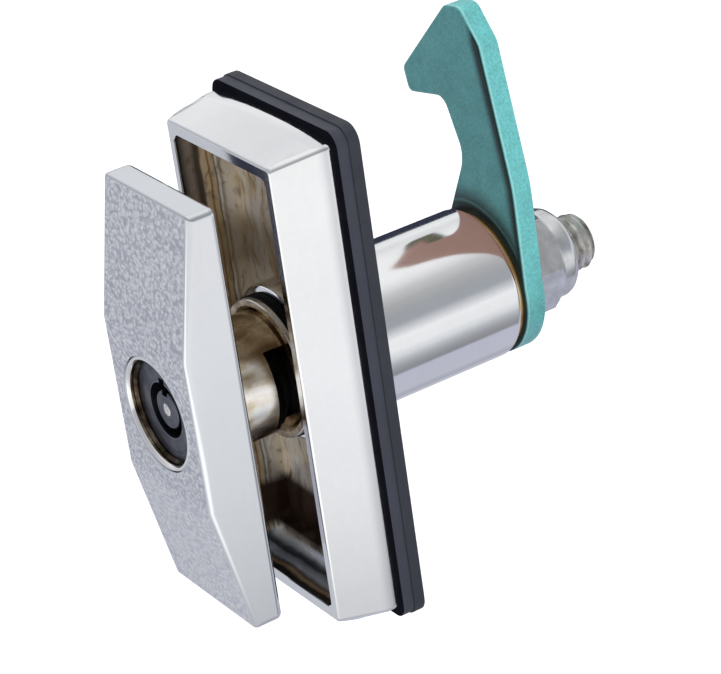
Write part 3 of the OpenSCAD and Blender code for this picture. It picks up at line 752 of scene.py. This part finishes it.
def finish_lock():
    """Bezel with its throat painted dark as shade, lock face with turned rings, brass, spring wire, and the
    bolt painted near black as shade.
    """
    shader, place = finish("bezel", "bezel_chrome")
    x, y, z = apart(place)
    # The bezel's throat is painted dark brown, as painted shade
    throat = times(between(y, -32.25, -30, 0.04), between(far(x, z), 5, 9.3, 0.05))
    wall = ramp(noise(place, 300.0, 3.0), [
        (0.38, (0.012, 0.009, 0.006)), (0.52, (0.07, 0.05, 0.032)), (0.66, (0.22, 0.18, 0.13))])
    feed(shader, base_color=blend(throat, (0.93, 0.92, 0.91), wall), roughness=haze(place, 300.0, 0.1, 0.2))

    shader, place = finish("face", "lock_face")
    x, _, z = apart(place)
    rings = add(place, "ShaderNodeTexNoise", {"noise_dimensions": "1D"}, {
        "W": times(far(x, z), 3200.0), "Scale": 1.0, "Detail": 3.0}).outputs["Fac"]
    tone = ramp(plus(times(rings, 0.5), times(noise(place, 330.0, 3.0), 0.5)), [
        (0.34, (0.055, 0.058, 0.075)), (0.5, (0.11, 0.115, 0.145)), (0.66, (0.20, 0.205, 0.24))])
    feed(shader, base_color=tone, roughness=haze(place, 300.0, 0.3, 0.42))
    bumpy(shader, rings, 0.15, 0.02)

    for key, name, low, high, gloss in (
            ("brass", "lock_brass", (0.40, 0.28, 0.10), (0.78, 0.62, 0.30), (0.25, 0.4)),
            ("wire", "spring_steel", (0.22, 0.22, 0.23), (0.58, 0.58, 0.60), (0.25, 0.4)),
            # The bolt is painted near black, as painted shade in the stem's window
            ("bolt", "bolt_steel", (0.002, 0.0015, 0.0015), (0.009, 0.008, 0.008), (0.45, 0.6))):
        shader, place = finish(key, name)
        lines = streaks(place, (400.0, 1600.0, 400.0), 0.3)
        feed(shader, base_color=ramp(lines, [(0.35, low), (0.65, high)]),
             roughness=haze(place, 300.0, *gloss))


def make_finishes(colours):
    """Builds the shared effects and every finish of the lock."""
    make_effects()
    finish_plate(colours)
    finish_handle(colours)
    finish_steels()
    finish_cam(colours)
    finish_soft(colours)
    finish_lock()


# What a user would change

LENGTH = {"unit": "LENGTH", "subtype": "DISTANCE"}
COLOUR = {"subtype": "COLOR", "min": 0, "max": 1}


class LockSizes(PropertyGroup):
    """Sizes of the modelled detail"""
    bar_round: FloatProperty(
        name="Handle edge", description="Rounding of the handle bar's long edges", default=0.00125,
        min=0.0003, max=0.0015, **LENGTH)
    rim_round: FloatProperty(
        name="Pan edge", description="Rounding of the pan's front outer edge", default=0.00045,
        min=0.0003, max=0.0015, **LENGTH)
    corner_round: FloatProperty(
        name="Pan corner", description="Rounding of the pan's four long corners", default=0.0008,
        min=0.0003, max=0.003, **LENGTH)
    end_arch: FloatProperty(
        name="Pan arch", description="Fall of the pan's rear end edges towards their corners", default=0.0009,
        min=0.0, max=0.002, **LENGTH)
    thread_pitch: FloatProperty(
        name="Thread pitch", description="Pitch of the stud's thread", default=0.0015,
        min=0.001, max=0.002, **LENGTH)
    cam_edge: FloatProperty(
        name="Cam edge", description="Rounding of the cam's edges", default=0.00035,
        min=0.0001, max=0.0008, **LENGTH)
    round_steps: IntProperty(
        name="Round steps", description="Straight steps round the castings' turned faces", default=128,
        min=32, max=256)


class LockColours(PropertyGroup):
    """Colours of the finishes"""
    plate: FloatVectorProperty(
        name="Plate", description="Bright plate of the pan and barrel", default=(0.91, 0.915, 0.92),
        **COLOUR)
    hammered: FloatVectorProperty(
        name="Hammered front", description="Satin metal of the handle's front", default=(1.0, 1.0, 1.0),
        **COLOUR)
    polished: FloatVectorProperty(
        name="Polished handle", description="Polished sides of the handle", default=(0.75, 0.765, 0.79),
        **COLOUR)
    teal: FloatVectorProperty(
        name="Teal coat", description="Coat of the hook cam", default=(0.18, 0.62, 0.61),
        **COLOUR)
    rubber: FloatVectorProperty(
        name="Rubber", description="Moulded rubber of the gasket", default=(0.026, 0.029, 0.042),
        **COLOUR)
    hammer_cell: FloatProperty(
        name="Hammer cells", description="Cells of the hammered skin in a metre", default=1500.0,
        min=400.0, max=2000.0)


# Pieces

class LOCK_OT_handle(Operator):
    """Models the handle casting: the faceted bar with its pocket, and the stem with the bolt's window"""
    bl_idname = "lock.handle"
    bl_label = "Handle casting"

    def execute(self, context):
        sizes = context.scene.lock_sizes
        wide, high, crease, end_front = 13.2, 36.5, 13.29, -28.24
        bar = block("handle_casting", (-wide, BAR_FRONT, -high), (wide, BAR_BACK, high))
        for level in (-crease, crease):
            split_at(bar, (0, 0, level), (0, 0, 1))
        shift(bar, lambda v: abs(middle(v).z) > 36 and middle(v).y < -32, (0, end_front - BAR_FRONT, 0))

        def beside(edge):
            spot = middle(edge)
            return abs(spot.x) > 13 and not (abs(abs(spot.z) - crease) < 0.1 and abs(spot.y + 28) < 3)

        def end_edge(edge):
            return abs(middle(edge).x) < 0.1 and abs(middle(edge).z) > 36

        round_shares(bar, (
            (beside, 1.0), (lambda e: end_edge(e) and middle(e).y < -27, 0.3),
            (lambda e: end_edge(e) and middle(e).y > -24, 1.0)), sizes.bar_round / MM, 6)
        deep, out = BAR_BACK - 2.5, BAR_BACK + 1
        carve(bar, turned("pocket", [(0, deep), (POCKET_R, deep), (POCKET_R, out), (0, out)]))
        end, chamfer = 8.0, 0.4
        stem = turned("stem", [
            (0, -28), (STEM_R, -28), (STEM_R, end - chamfer), (STEM_R - chamfer, end), (0, end)],
            sizes.round_steps)
        carve(bar, stem, "UNION")
        bezel, shell, post = 9.85, 8.8, 3.6
        carve(bar, turned("lock_bore", [
            (0, -34), (bezel, -34), (bezel, -30.95), (shell, -30.95), (shell, -17.45), (post, -17.45),
            (post, -15.9), (0, -15.9)], sizes.round_steps))

        # The bolt's window widens outwards, and a narrower pocket behind the bolt holds its spring
        half, half_out = 6.05, 10.775
        window = block("window", (-7.4, -16.2, -half), (STEM_R + 1, -12.5, half))
        split_at(window, (6.325, 0, 0), (1, 0, 0))
        stretch(window, lambda v: middle(v).x > STEM_R, (1, 1, half_out / half))
        carve(bar, window)
        carve(bar, block("spring_way", (-9, -15.9, -1.6), (-7, -12.8, 1.6)))
        carve(bar, drum("spring_bore", 7.6, -9.5, 9))
        for low, high in ((-STEM_R - 1, -8.45), (8.45, STEM_R + 1)):
            carve(bar, block("groove", (-1.55, -9.6, low), (1.55, 6.6, high)))
        tidy(bar)
        shade(bar)
        paint(bar, "polished")
        paint(bar, "hammered", lambda c, n: n.y < -0.95 and c.y < -28.1)
        paint(bar, "warm", lambda c, n: c.y > deep - 0.1 and math.hypot(c.x, c.z) < POCKET_R + 0.09)
        paint(bar, "warm", lambda c, n: c.y > BAR_BACK + 0.2)
        seat(bar, "handle", "t_handle")
        return {"FINISHED"}


class LOCK_OT_pan(Operator):
    """Models the housing casting: the pan, its recess, the collar and the barrel"""
    bl_idname = "lock.pan"
    bl_label = "Housing casting"

    def execute(self, context):
        sizes = context.scene.lock_sizes
        steps = sizes.round_steps
        pan = self.make_block(sizes)
        self.sink_recess(pan)
        pad = block("pad", (-14.5, PAN_REAR - 1, -41), (14.5, CAST_REAR, 41))
        round_off(pad, along, 1.5, 5)
        carve(pan, pad, "UNION")
        carve(pan, drum("barrel_hole", BARREL_HOLE_R, -12, 3, steps))
        wall, journal, groove = 3.2, 8.06, 12.4
        barrel = turned("barrel", [
            (BORE_R, COLLAR + 0.2), (BORE_R + 0.2, COLLAR), (12.6, COLLAR), (13.1, COLLAR + 0.22),
            (13.3, COLLAR + 0.7), (13.3, FLOOR - 0.9), (13.56, FLOOR - 0.26), (14.2, FLOOR + 0.02),
            (14.2, FLOOR + 0.4), (BARREL_R, FLOOR + 0.6), (BARREL_R, BARREL_END - 0.8),
            (BARREL_R - 0.24, BARREL_END - 0.24), (BARREL_R - 0.8, BARREL_END), (journal, BARREL_END),
            (journal, BARREL_END - wall), (BORE_R, BARREL_END - wall), (BORE_R, 0.7), (groove, 0.7),
            (groove, -3.3), (BORE_R, -3.3), (BORE_R, COLLAR + 0.2)], steps)
        carve(pan, barrel, "UNION")

        # The track in the barrel's rear wall, in which the stop washer's tab turns
        sweep, start = 197, 81.5
        track = turned("track", [(9.3, 28.3), (11.7, 28.3), (11.7, 31), (9.3, 31)], 48, sweep)
        open_all(track)
        bpy.ops.transform.rotate(value=math.radians(start), orient_axis="Y", center_override=(0, 0, 0))
        settle()
        carve(pan, track)
        hole, span = 2.1, 77
        for z in (-span / 2, span / 2):
            carve(pan, drum("screw_hole", hole, CAST_REAR - 6, CAST_REAR + 1, 48, z))
        tidy(pan)
        shade(pan)
        paint(pan, "plate")
        seat(pan, "housing", "housing")
        return {"FINISHED"}

    def make_block(self, sizes):
        """The pan's outside: flared sides, rounded corners and rims, and arched rear end edges."""
        pan = block("housing_casting", (-PAN_X, PAN_FRONT, -PAN_Z), (PAN_X, PAN_REAR, PAN_Z))
        split_at(pan, (0, PAN_CREASE, 0), (0, 1, 0))
        stretch(pan, lambda v: middle(v).y < -14, (15.5 / PAN_X, 1, 40.2 / PAN_Z))
        round_off(pan, along, sizes.corner_round / MM, 6)
        round_off(pan, at_level(PAN_FRONT), sizes.rim_round / MM, 4)
        round_off(pan, at_level(PAN_CREASE), 1.1, 4)
        for across in (-15.4, -13, -10, -6, -2, 2, 6, 10, 13, 15.4):
            split_at(pan, (across, 0, 0), (1, 0, 0))
        for side in (-1, 1):
            pick(pan, "verts", lambda v: v.co.z * side > 40 * MM and v.co.y > -7.5 * MM)
            shape = bmesh.from_edit_mesh(pan.data)
            for corner in [v for v in shape.verts if v.select]:
                drop = min(1.0, abs(corner.co.x) / (PAN_X * MM)) ** 2.6
                drop *= min(1.0, (corner.co.y / MM - PAN_FRONT) / 8.65)
                corner.co.z -= side * sizes.end_arch * drop
            bmesh.update_edit_mesh(pan.data)
            settle()
        return pan

    def sink_recess(self, pan):
        """The recess for the handle's bar, with a small lip at its mouth, and the deeper one in its floor."""
        lip = 0.12
        upper = block("recess_upper", (-RECESS_X, PAN_FRONT, -RECESS_Z), (RECESS_X, SEAT, RECESS_Z))
        stretch(upper, lambda v: middle(v).y > -8, (13.235 / RECESS_X, 1, 37.82 / RECESS_Z))
        round_off(upper, along, 1.4, 5)
        pick(upper, "faces", lambda f: f.normal.y < -0.9)
        bpy.ops.mesh.extrude_region_move(TRANSFORM_OT_translate={"value": (0, -lip * MM, 0)})
        grow = (1 + lip / RECESS_X, 1, 1 + lip / RECESS_Z)
        bpy.ops.transform.resize(value=grow, center_override=(0, 0, 0))
        bpy.ops.mesh.extrude_region_move(TRANSFORM_OT_translate={"value": (0, -2 * MM, 0)})
        settle()
        shift(upper, lambda v: middle(v).y < -8, (0, lip, 0))
        carve(pan, upper)
        lower = block("recess_lower", (-13.2, SEAT - 0.5, -35.2), (13.2, FLOOR, 35.2))
        stretch(lower, lambda v: middle(v).y > -4, (12.9 / 13.2, 1, 35.05 / 35.2))
        round_off(lower, along, 1.4, 5)
        round_off(lower, at_level(FLOOR), 0.7, 3)
        carve(pan, lower)


class LOCK_OT_stud(Operator):
    """Models the drive stud: its head, its square neck and its thread"""
    bl_idname = "lock.stud"
    bl_label = "Drive stud"

    def execute(self, context):
        pitch = context.scene.lock_sizes.thread_pitch / MM
        head, core, rod, tip, half, steps = 7.4, 4.12, 4.95, 51.2, 5, 72
        stud = turned("threaded_stud", [
            (0, 20), (head, 20), (head, 22), (4.9, 22), (4.9, 34), (rod, 34.2), (rod, 44.4), (core, 45.2),
            (core, tip), (0, tip)], steps)
        neck = block("neck", (-half, 21.9, -half), (half, 34.2, half))
        carve(neck, drum("corners", 6.5, 20, 36), "INTERSECT")
        carve(stud, neck, "UNION")
        ridge = start_line("ridge", 4.0, 43.2)
        draw_line(((0, 0.94 * pitch), (0.42, -0.20 * pitch), (0.43, -0.20 * pitch), (0.06, -0.05 * pitch),
                   (0, -0.06 * pitch), (-0.06, -0.05 * pitch), (-0.43, -0.20 * pitch)))
        bpy.ops.mesh.select_all(action="SELECT")
        bpy.ops.mesh.edge_face_add()
        wind_up(ridge, pitch, 6, 48)
        tidy(ridge)
        carve(stud, ridge, "UNION")
        carve(stud, turned("tip", [
            (rod, 50.4), (4.15, tip), (0, tip), (0, 56), (7, 56), (7, 50.4), (rod, 50.4)], steps))
        tidy(stud)
        shade(stud)
        paint(stud, "stud")
        seat(stud, "spindle", "drive_stud")
        return {"FINISHED"}


class LOCK_OT_rear(Operator):
    """Finishes the pieces behind the barrel: the hook cam, the stop washer, the nut and its nylon ring"""
    bl_idname = "lock.rear"
    bl_label = "Cam, washer and nut"

    def execute(self, context):
        edge = context.scene.lock_sizes.cam_edge / MM
        dress("spindle", "hook_cam", "cam_plate", "teal", edge, 3)
        dress("spindle", "stop_washer", "tab_washer", "yellow", 0.08)
        dress("spindle", "lock_nut", "collar_nut", "nut", 0.15)
        dress("spindle", "nylon_insert", "nylon_ring", "nylon", 0.1)
        return {"FINISHED"}


class LOCK_OT_seals(Operator):
    """Finishes the rubber gasket and the rubber seal ring"""
    bl_idname = "lock.seals"
    bl_label = "Gasket and seal"

    def execute(self, context):
        gasket = dress("housing", "gasket", "gasket_frame", "gasket", 0.35, 3)
        # Painted shade: the gasket's front face behind the pan gets the darker rubber
        paint(gasket, "shaded", lambda c, n: n.y < -0.8 and c.y < -3.6)
        dress("housing", "seal_ring", "rubber_seal", "seal")
        return {"FINISHED"}


class LOCK_OT_sleeve(Operator):
    """Finishes the spindle with its flange"""
    bl_idname = "lock.sleeve"
    bl_label = "Spindle"

    def execute(self, context):
        dress("spindle", "spindle", "spindle_sleeve", "turned", 0.12)
        return {"FINISHED"}


class LOCK_OT_tubular(Operator):
    """Finishes the visible pieces of the tubular lock: bezel, shell, plug, centre pin and bolt"""
    bl_idname = "lock.tubular"
    bl_label = "Tubular lock"

    def execute(self, context):
        dress("handle", "lock_bezel", "bezel_ring", "bezel", 0.06)
        dress("handle", "lock_shell", "lock_barrel_shell", "face", 0.12)
        dress("plug", "lock_plug", "key_post", "face", 0.12)
        dress("bolt", "lock_bolt", "side_bolt", "bolt", 0.2)
        rod, head, end = 0.89, 1.1, -28.85
        pin = turned("centre_pin", [
            (0, -31.12), (0.5, -31.1), (0.86, -31.02), (head, -30.86), (head, -30.78), (rod, -30.72),
            (rod, end), (0, end)], 48)
        shade(pin)
        paint(pin, "hard")
        seat(pin, "plug", "drill_pin")
        return {"FINISHED"}


class LOCK_OT_spring(Operator):
    """Winds the pop-out spring inside the stem"""
    bl_idname = "lock.spring"
    bl_label = "Pop-out spring"

    def execute(self, context):
        wire, coil, turns, travel = 0.6, 6.5, 8, 13.0
        low, high = (corner[1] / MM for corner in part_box("popout_spring"))
        settle()
        bpy.ops.mesh.primitive_circle_add(
            vertices=12, radius=wire * MM, location=(coil * MM, (low + wire) * MM, 0))
        spring = named("return_spring")
        wind_up(spring, (high - low - 2 * wire) / turns, turns, 32)
        open_all(spring)
        bpy.ops.mesh.fill_holes(sides=0)
        tidy(spring)
        shade(spring)
        paint(spring, "wire")
        seat(spring, "spindle", "popout_spring")
        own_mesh(spring)
        return {"FINISHED"}


class LOCK_OT_works(Operator):
    """Gives the hidden works their finishes: dowels, springs, pins, block and crank"""
    bl_idname = "lock.works"
    bl_label = "Hidden works"

    def execute(self, context):
        for key, nodes in (
                ("hard", ("drive_pins", "shell_pin", "driver_pins", "drive_crank")),
                ("brass", ("pin_block", "key_pins")),
                ("wire", ("driver_springs", "bolt_spring"))):
            for node in nodes:
                materials = frame["nodes"][node].data.materials
                materials.clear()
                materials.append(FINISHES[key])
        return {"FINISHED"}


class LOCK_OT_stage(Operator):
    """Sets up the floor, the soft light and the camera"""
    bl_idname = "lock.stage"
    bl_label = "Studio"

    def execute(self, context):
        scene = context.scene
        scene.view_settings.view_transform = "Standard"
        self.lay_floor()
        self.hang_cards()
        self.light_world(scene)
        for name, place, size, power in (
                ("right_softbox", (0.95, 0.35, 0.55), 0.7, 4.2),
                ("top_softbox", (-0.25, 0.3, 1.1), 0.9, 2.2)):
            light = bpy.data.lights.new(name, "AREA")
            light.shape = "SQUARE"
            light.size = size
            light.energy = power
            lamp = bpy.data.objects.new(name, light)
            scene.collection.objects.link(lamp)
            lamp.location = place
            lamp.rotation_euler = (-Vector(place)).to_track_quat("-Z", "Y").to_euler()
            lamp.visible_glossy = False
        self.aim_camera(scene)
        return {"FINISHED"}

    def surface(self, piece):
        """Gives the floor or a card a material of its own, as its emptied tree."""
        made = bpy.data.materials.new(piece.name)
        piece.data.materials.append(made)
        return bare_tree(made)

    def lay_floor(self):
        """A pale matt floor, white to the camera apart from the object's soft shadow."""
        settle()
        bpy.ops.mesh.primitive_plane_add(size=6, location=(0, 0, FLOOR_LEVEL))
        floor = named("studio_floor")
        tree = self.surface(floor)
        seen = add(tree, "ShaderNodeLightPath").outputs
        shown = maths("MAXIMUM", maths("MAXIMUM", seen["Is Camera Ray"], seen["Is Glossy Ray"]),
                      seen["Is Transmission Ray"])
        matt = add(tree, "ShaderNodeBsdfDiffuse", inputs={"Color": (0.8, 0.8, 0.81)})
        glow = add(tree, "ShaderNodeEmission", inputs={"Color": (1, 1, 1), "Strength": times(shown, 0.5)})
        both = add(tree, "ShaderNodeAddShader", inputs={0: matt.outputs[0], 1: glow.outputs[0]})
        add(tree, "ShaderNodeOutputMaterial", inputs={"Surface": both.outputs[0]})

    def hang_cards(self):
        """Cards for the polished metal alone: a shaded sheet on the floor and a dark strip on the left."""
        settle()
        bpy.ops.mesh.primitive_plane_add(size=5, location=(0, 0, FLOOR_LEVEL + MM))
        sheet = named("shaded_sheet")
        tree = self.surface(sheet)
        self.light_card(sheet, tree, self.shade_sheet(add(tree, "ShaderNodeTexCoord").outputs["Object"]))
        strip = block("dark_strip", (-161, 0, -84), (-160, 260, 62))
        self.light_card(strip, self.surface(strip), (0.03, 0.035, 0.06))

    def light_card(self, card, tree, tone):
        """Lets a card glow in a tone that only glossy surfaces see."""
        glow = add(tree, "ShaderNodeEmission", inputs={"Color": tone, "Strength": 1.0})
        add(tree, "ShaderNodeOutputMaterial", inputs={"Surface": glow.outputs[0]})
        card.visible_camera = False
        card.visible_diffuse = False
        card.visible_shadow = False

    def shade_sheet(self, place):
        """The sheet's tones, painted shade and light seen in reflections: paler outwards, banded on the
        right, and darker or brighter near the pan.
        """
        x, y = apart(place)[:2]
        # Painted shade about the object's foot, paler outwards
        tone = ramp(times(far(x, y), 2.5), [
            (0.10, (0.46, 0.46, 0.50)), (0.27, (0.76, 0.77, 0.79)), (0.34, (0.87, 0.88, 0.90)),
            (0.45, (0.92, 0.93, 0.95)), (0.64, (0.99, 0.99, 1.0)), (0.80, (1.0, 1.0, 1.0)),
            (1.0, (0.93, 0.93, 0.95))])
        # Painted shadow of the object on the sheet, in bands
        beyond = less(y, times(x, 0.575))
        object_shadow = times(within(x, -0.5, 0.6, 0.1), within(beyond, -0.0185, 2, 0.003))
        below = ramp(maths("DIVIDE", plus(x, 0.06), 0.3), [
            (0.0, (0.54, 0.55, 0.62)), (0.05, (0.54, 0.55, 0.62)), (0.10, (0.42, 0.43, 0.51)),
            (0.145, (0.44, 0.45, 0.53)), (0.19, (0.53, 0.54, 0.63)), (0.396, (0.53, 0.54, 0.65)),
            (0.412, (0.26, 0.265, 0.29)), (0.51, (0.36, 0.37, 0.40)), (0.60, (0.49, 0.51, 0.54)),
            (0.733, (0.715, 0.74, 0.77)), (0.953, (0.86, 0.86, 0.88)), (1.0, (0.90, 0.90, 0.92))])
        tone = blend(object_shadow, tone, below)
        left = times(within(x, -0.9, -0.02, 0.05), within(y, -0.9, -0.03, 0.03))
        tone = blend(left, tone, (0.55, 0.57, 0.63))
        # A painted bright patch, brighter than white
        near = times(within(x, 0.03, 0.15, 0.03), within(y, -0.9, -0.09, 0.03))
        return blend(near, tone, (1.35, 1.35, 1.35))

    def light_world(self, scene):
        """Soft light from above, with the brighter and darker zones that polished metal shows."""
        world = bpy.data.worlds.new("studio_light")
        scene.world = world
        tree = bare_tree(world)
        x, y, z = apart(add(tree, "ShaderNodeTexCoord").outputs["Generated"])
        right = ramp(z, [
            (0.0, (0.84, 0.84, 0.87)), (0.12, (0.60, 0.61, 0.64)), (0.24, (0.37, 0.39, 0.43)),
            (0.46, (0.38, 0.40, 0.42)), (0.62, (0.45, 0.45, 0.46)), (0.76, (0.60, 0.60, 0.61)),
            (0.88, (0.95, 0.95, 0.96)), (1.0, (0.96, 0.96, 0.96))])
        left = ramp(z, [
            (0.0, (0.72, 0.73, 0.76)), (0.30, (0.80, 0.82, 0.84)), (0.44, (0.90, 0.91, 0.92)),
            (0.58, (0.76, 0.77, 0.79)), (0.77, (0.93, 0.93, 0.93)), (1.0, (0.96, 0.96, 0.96))])
        sides = blend(ease(x, -0.25, 0.3), left, right)
        studio = blend(ease(y, 0.1, -0.6), sides, (0.45, 0.46, 0.50))
        sky = blend(add(tree, "ShaderNodeLightPath").outputs["Is Camera Ray"], studio, (1.0, 1.0, 1.0))
        backdrop = add(tree, "ShaderNodeBackground", inputs={"Color": sky, "Strength": 1.0})
        add(tree, "ShaderNodeOutputWorld", inputs={"Surface": backdrop.outputs[0]})

    def aim_camera(self, scene):
        """The camera of the photograph: its direction, tilt, distance and lens."""
        azimuth, elevation, roll = 60.127, 26.27, -8.33
        place = Vector((5.056, 0.905, 494.293)) * MM
        sensor, focal_pixels, photo_width = 36, 3046.63, 721
        turn = Matrix.Identity(4)
        for angle, axis in ((azimuth, "Z"), (90 - elevation, "X"), (roll, "Z")):
            turn = turn @ Matrix.Rotation(math.radians(angle), 4, axis)
        camera = bpy.data.objects.new("photo_view", bpy.data.cameras.new("photo_view"))
        scene.collection.objects.link(camera)
        camera.matrix_world = turn @ Matrix.Translation(place)
        camera.data.sensor_width = sensor
        camera.data.lens = focal_pixels * sensor / photo_width
        camera.data.clip_start = 0.01
        camera.data.clip_end = 20
        scene.camera = camera


class LOCK_PT_panel(Panel):
    """Lists the lock's pieces and finishes"""
    bl_label = "T-handle lock"
    bl_idname = "LOCK_PT_panel"
    bl_space_type = "VIEW_3D"
    bl_region_type = "UI"
    bl_category = "Lock"

    def draw(self, context):
        for group_name in ("lock_sizes", "lock_colours"):
            settings = getattr(context.scene, group_name)
            for key in settings.__annotations__:
                self.layout.prop(settings, key)
        for operator in OPERATORS:
            self.layout.operator(operator.bl_idname)


OPERATORS = (
    LOCK_OT_handle, LOCK_OT_pan, LOCK_OT_stud, LOCK_OT_rear, LOCK_OT_seals, LOCK_OT_sleeve, LOCK_OT_tubular,
    LOCK_OT_spring, LOCK_OT_works, LOCK_OT_stage)
CLASSES = (LockSizes, LockColours, *OPERATORS, LOCK_PT_panel)


def register():
    """Registers the classes and their settings."""
    for item in CLASSES:
        bpy.utils.register_class(item)
    bpy.types.Scene.lock_sizes = PointerProperty(type=LockSizes)
    bpy.types.Scene.lock_colours = PointerProperty(type=LockColours)


def unregister():
    """Takes the classes and their settings away."""
    del bpy.types.Scene.lock_colours
    del bpy.types.Scene.lock_sizes
    for item in reversed(CLASSES):
        bpy.utils.unregister_class(item)


def main():
    """Builds the dressed lock and its studio."""
    register()
    make_finishes(bpy.context.scene.lock_colours)
    for operator in OPERATORS:
        section, name = operator.bl_idname.split(".")
        if getattr(getattr(bpy.ops, section), name)() != {"FINISHED"}:
            raise RuntimeError(f"{operator.bl_label} did not finish")


if __name__ == "__main__":
    main()
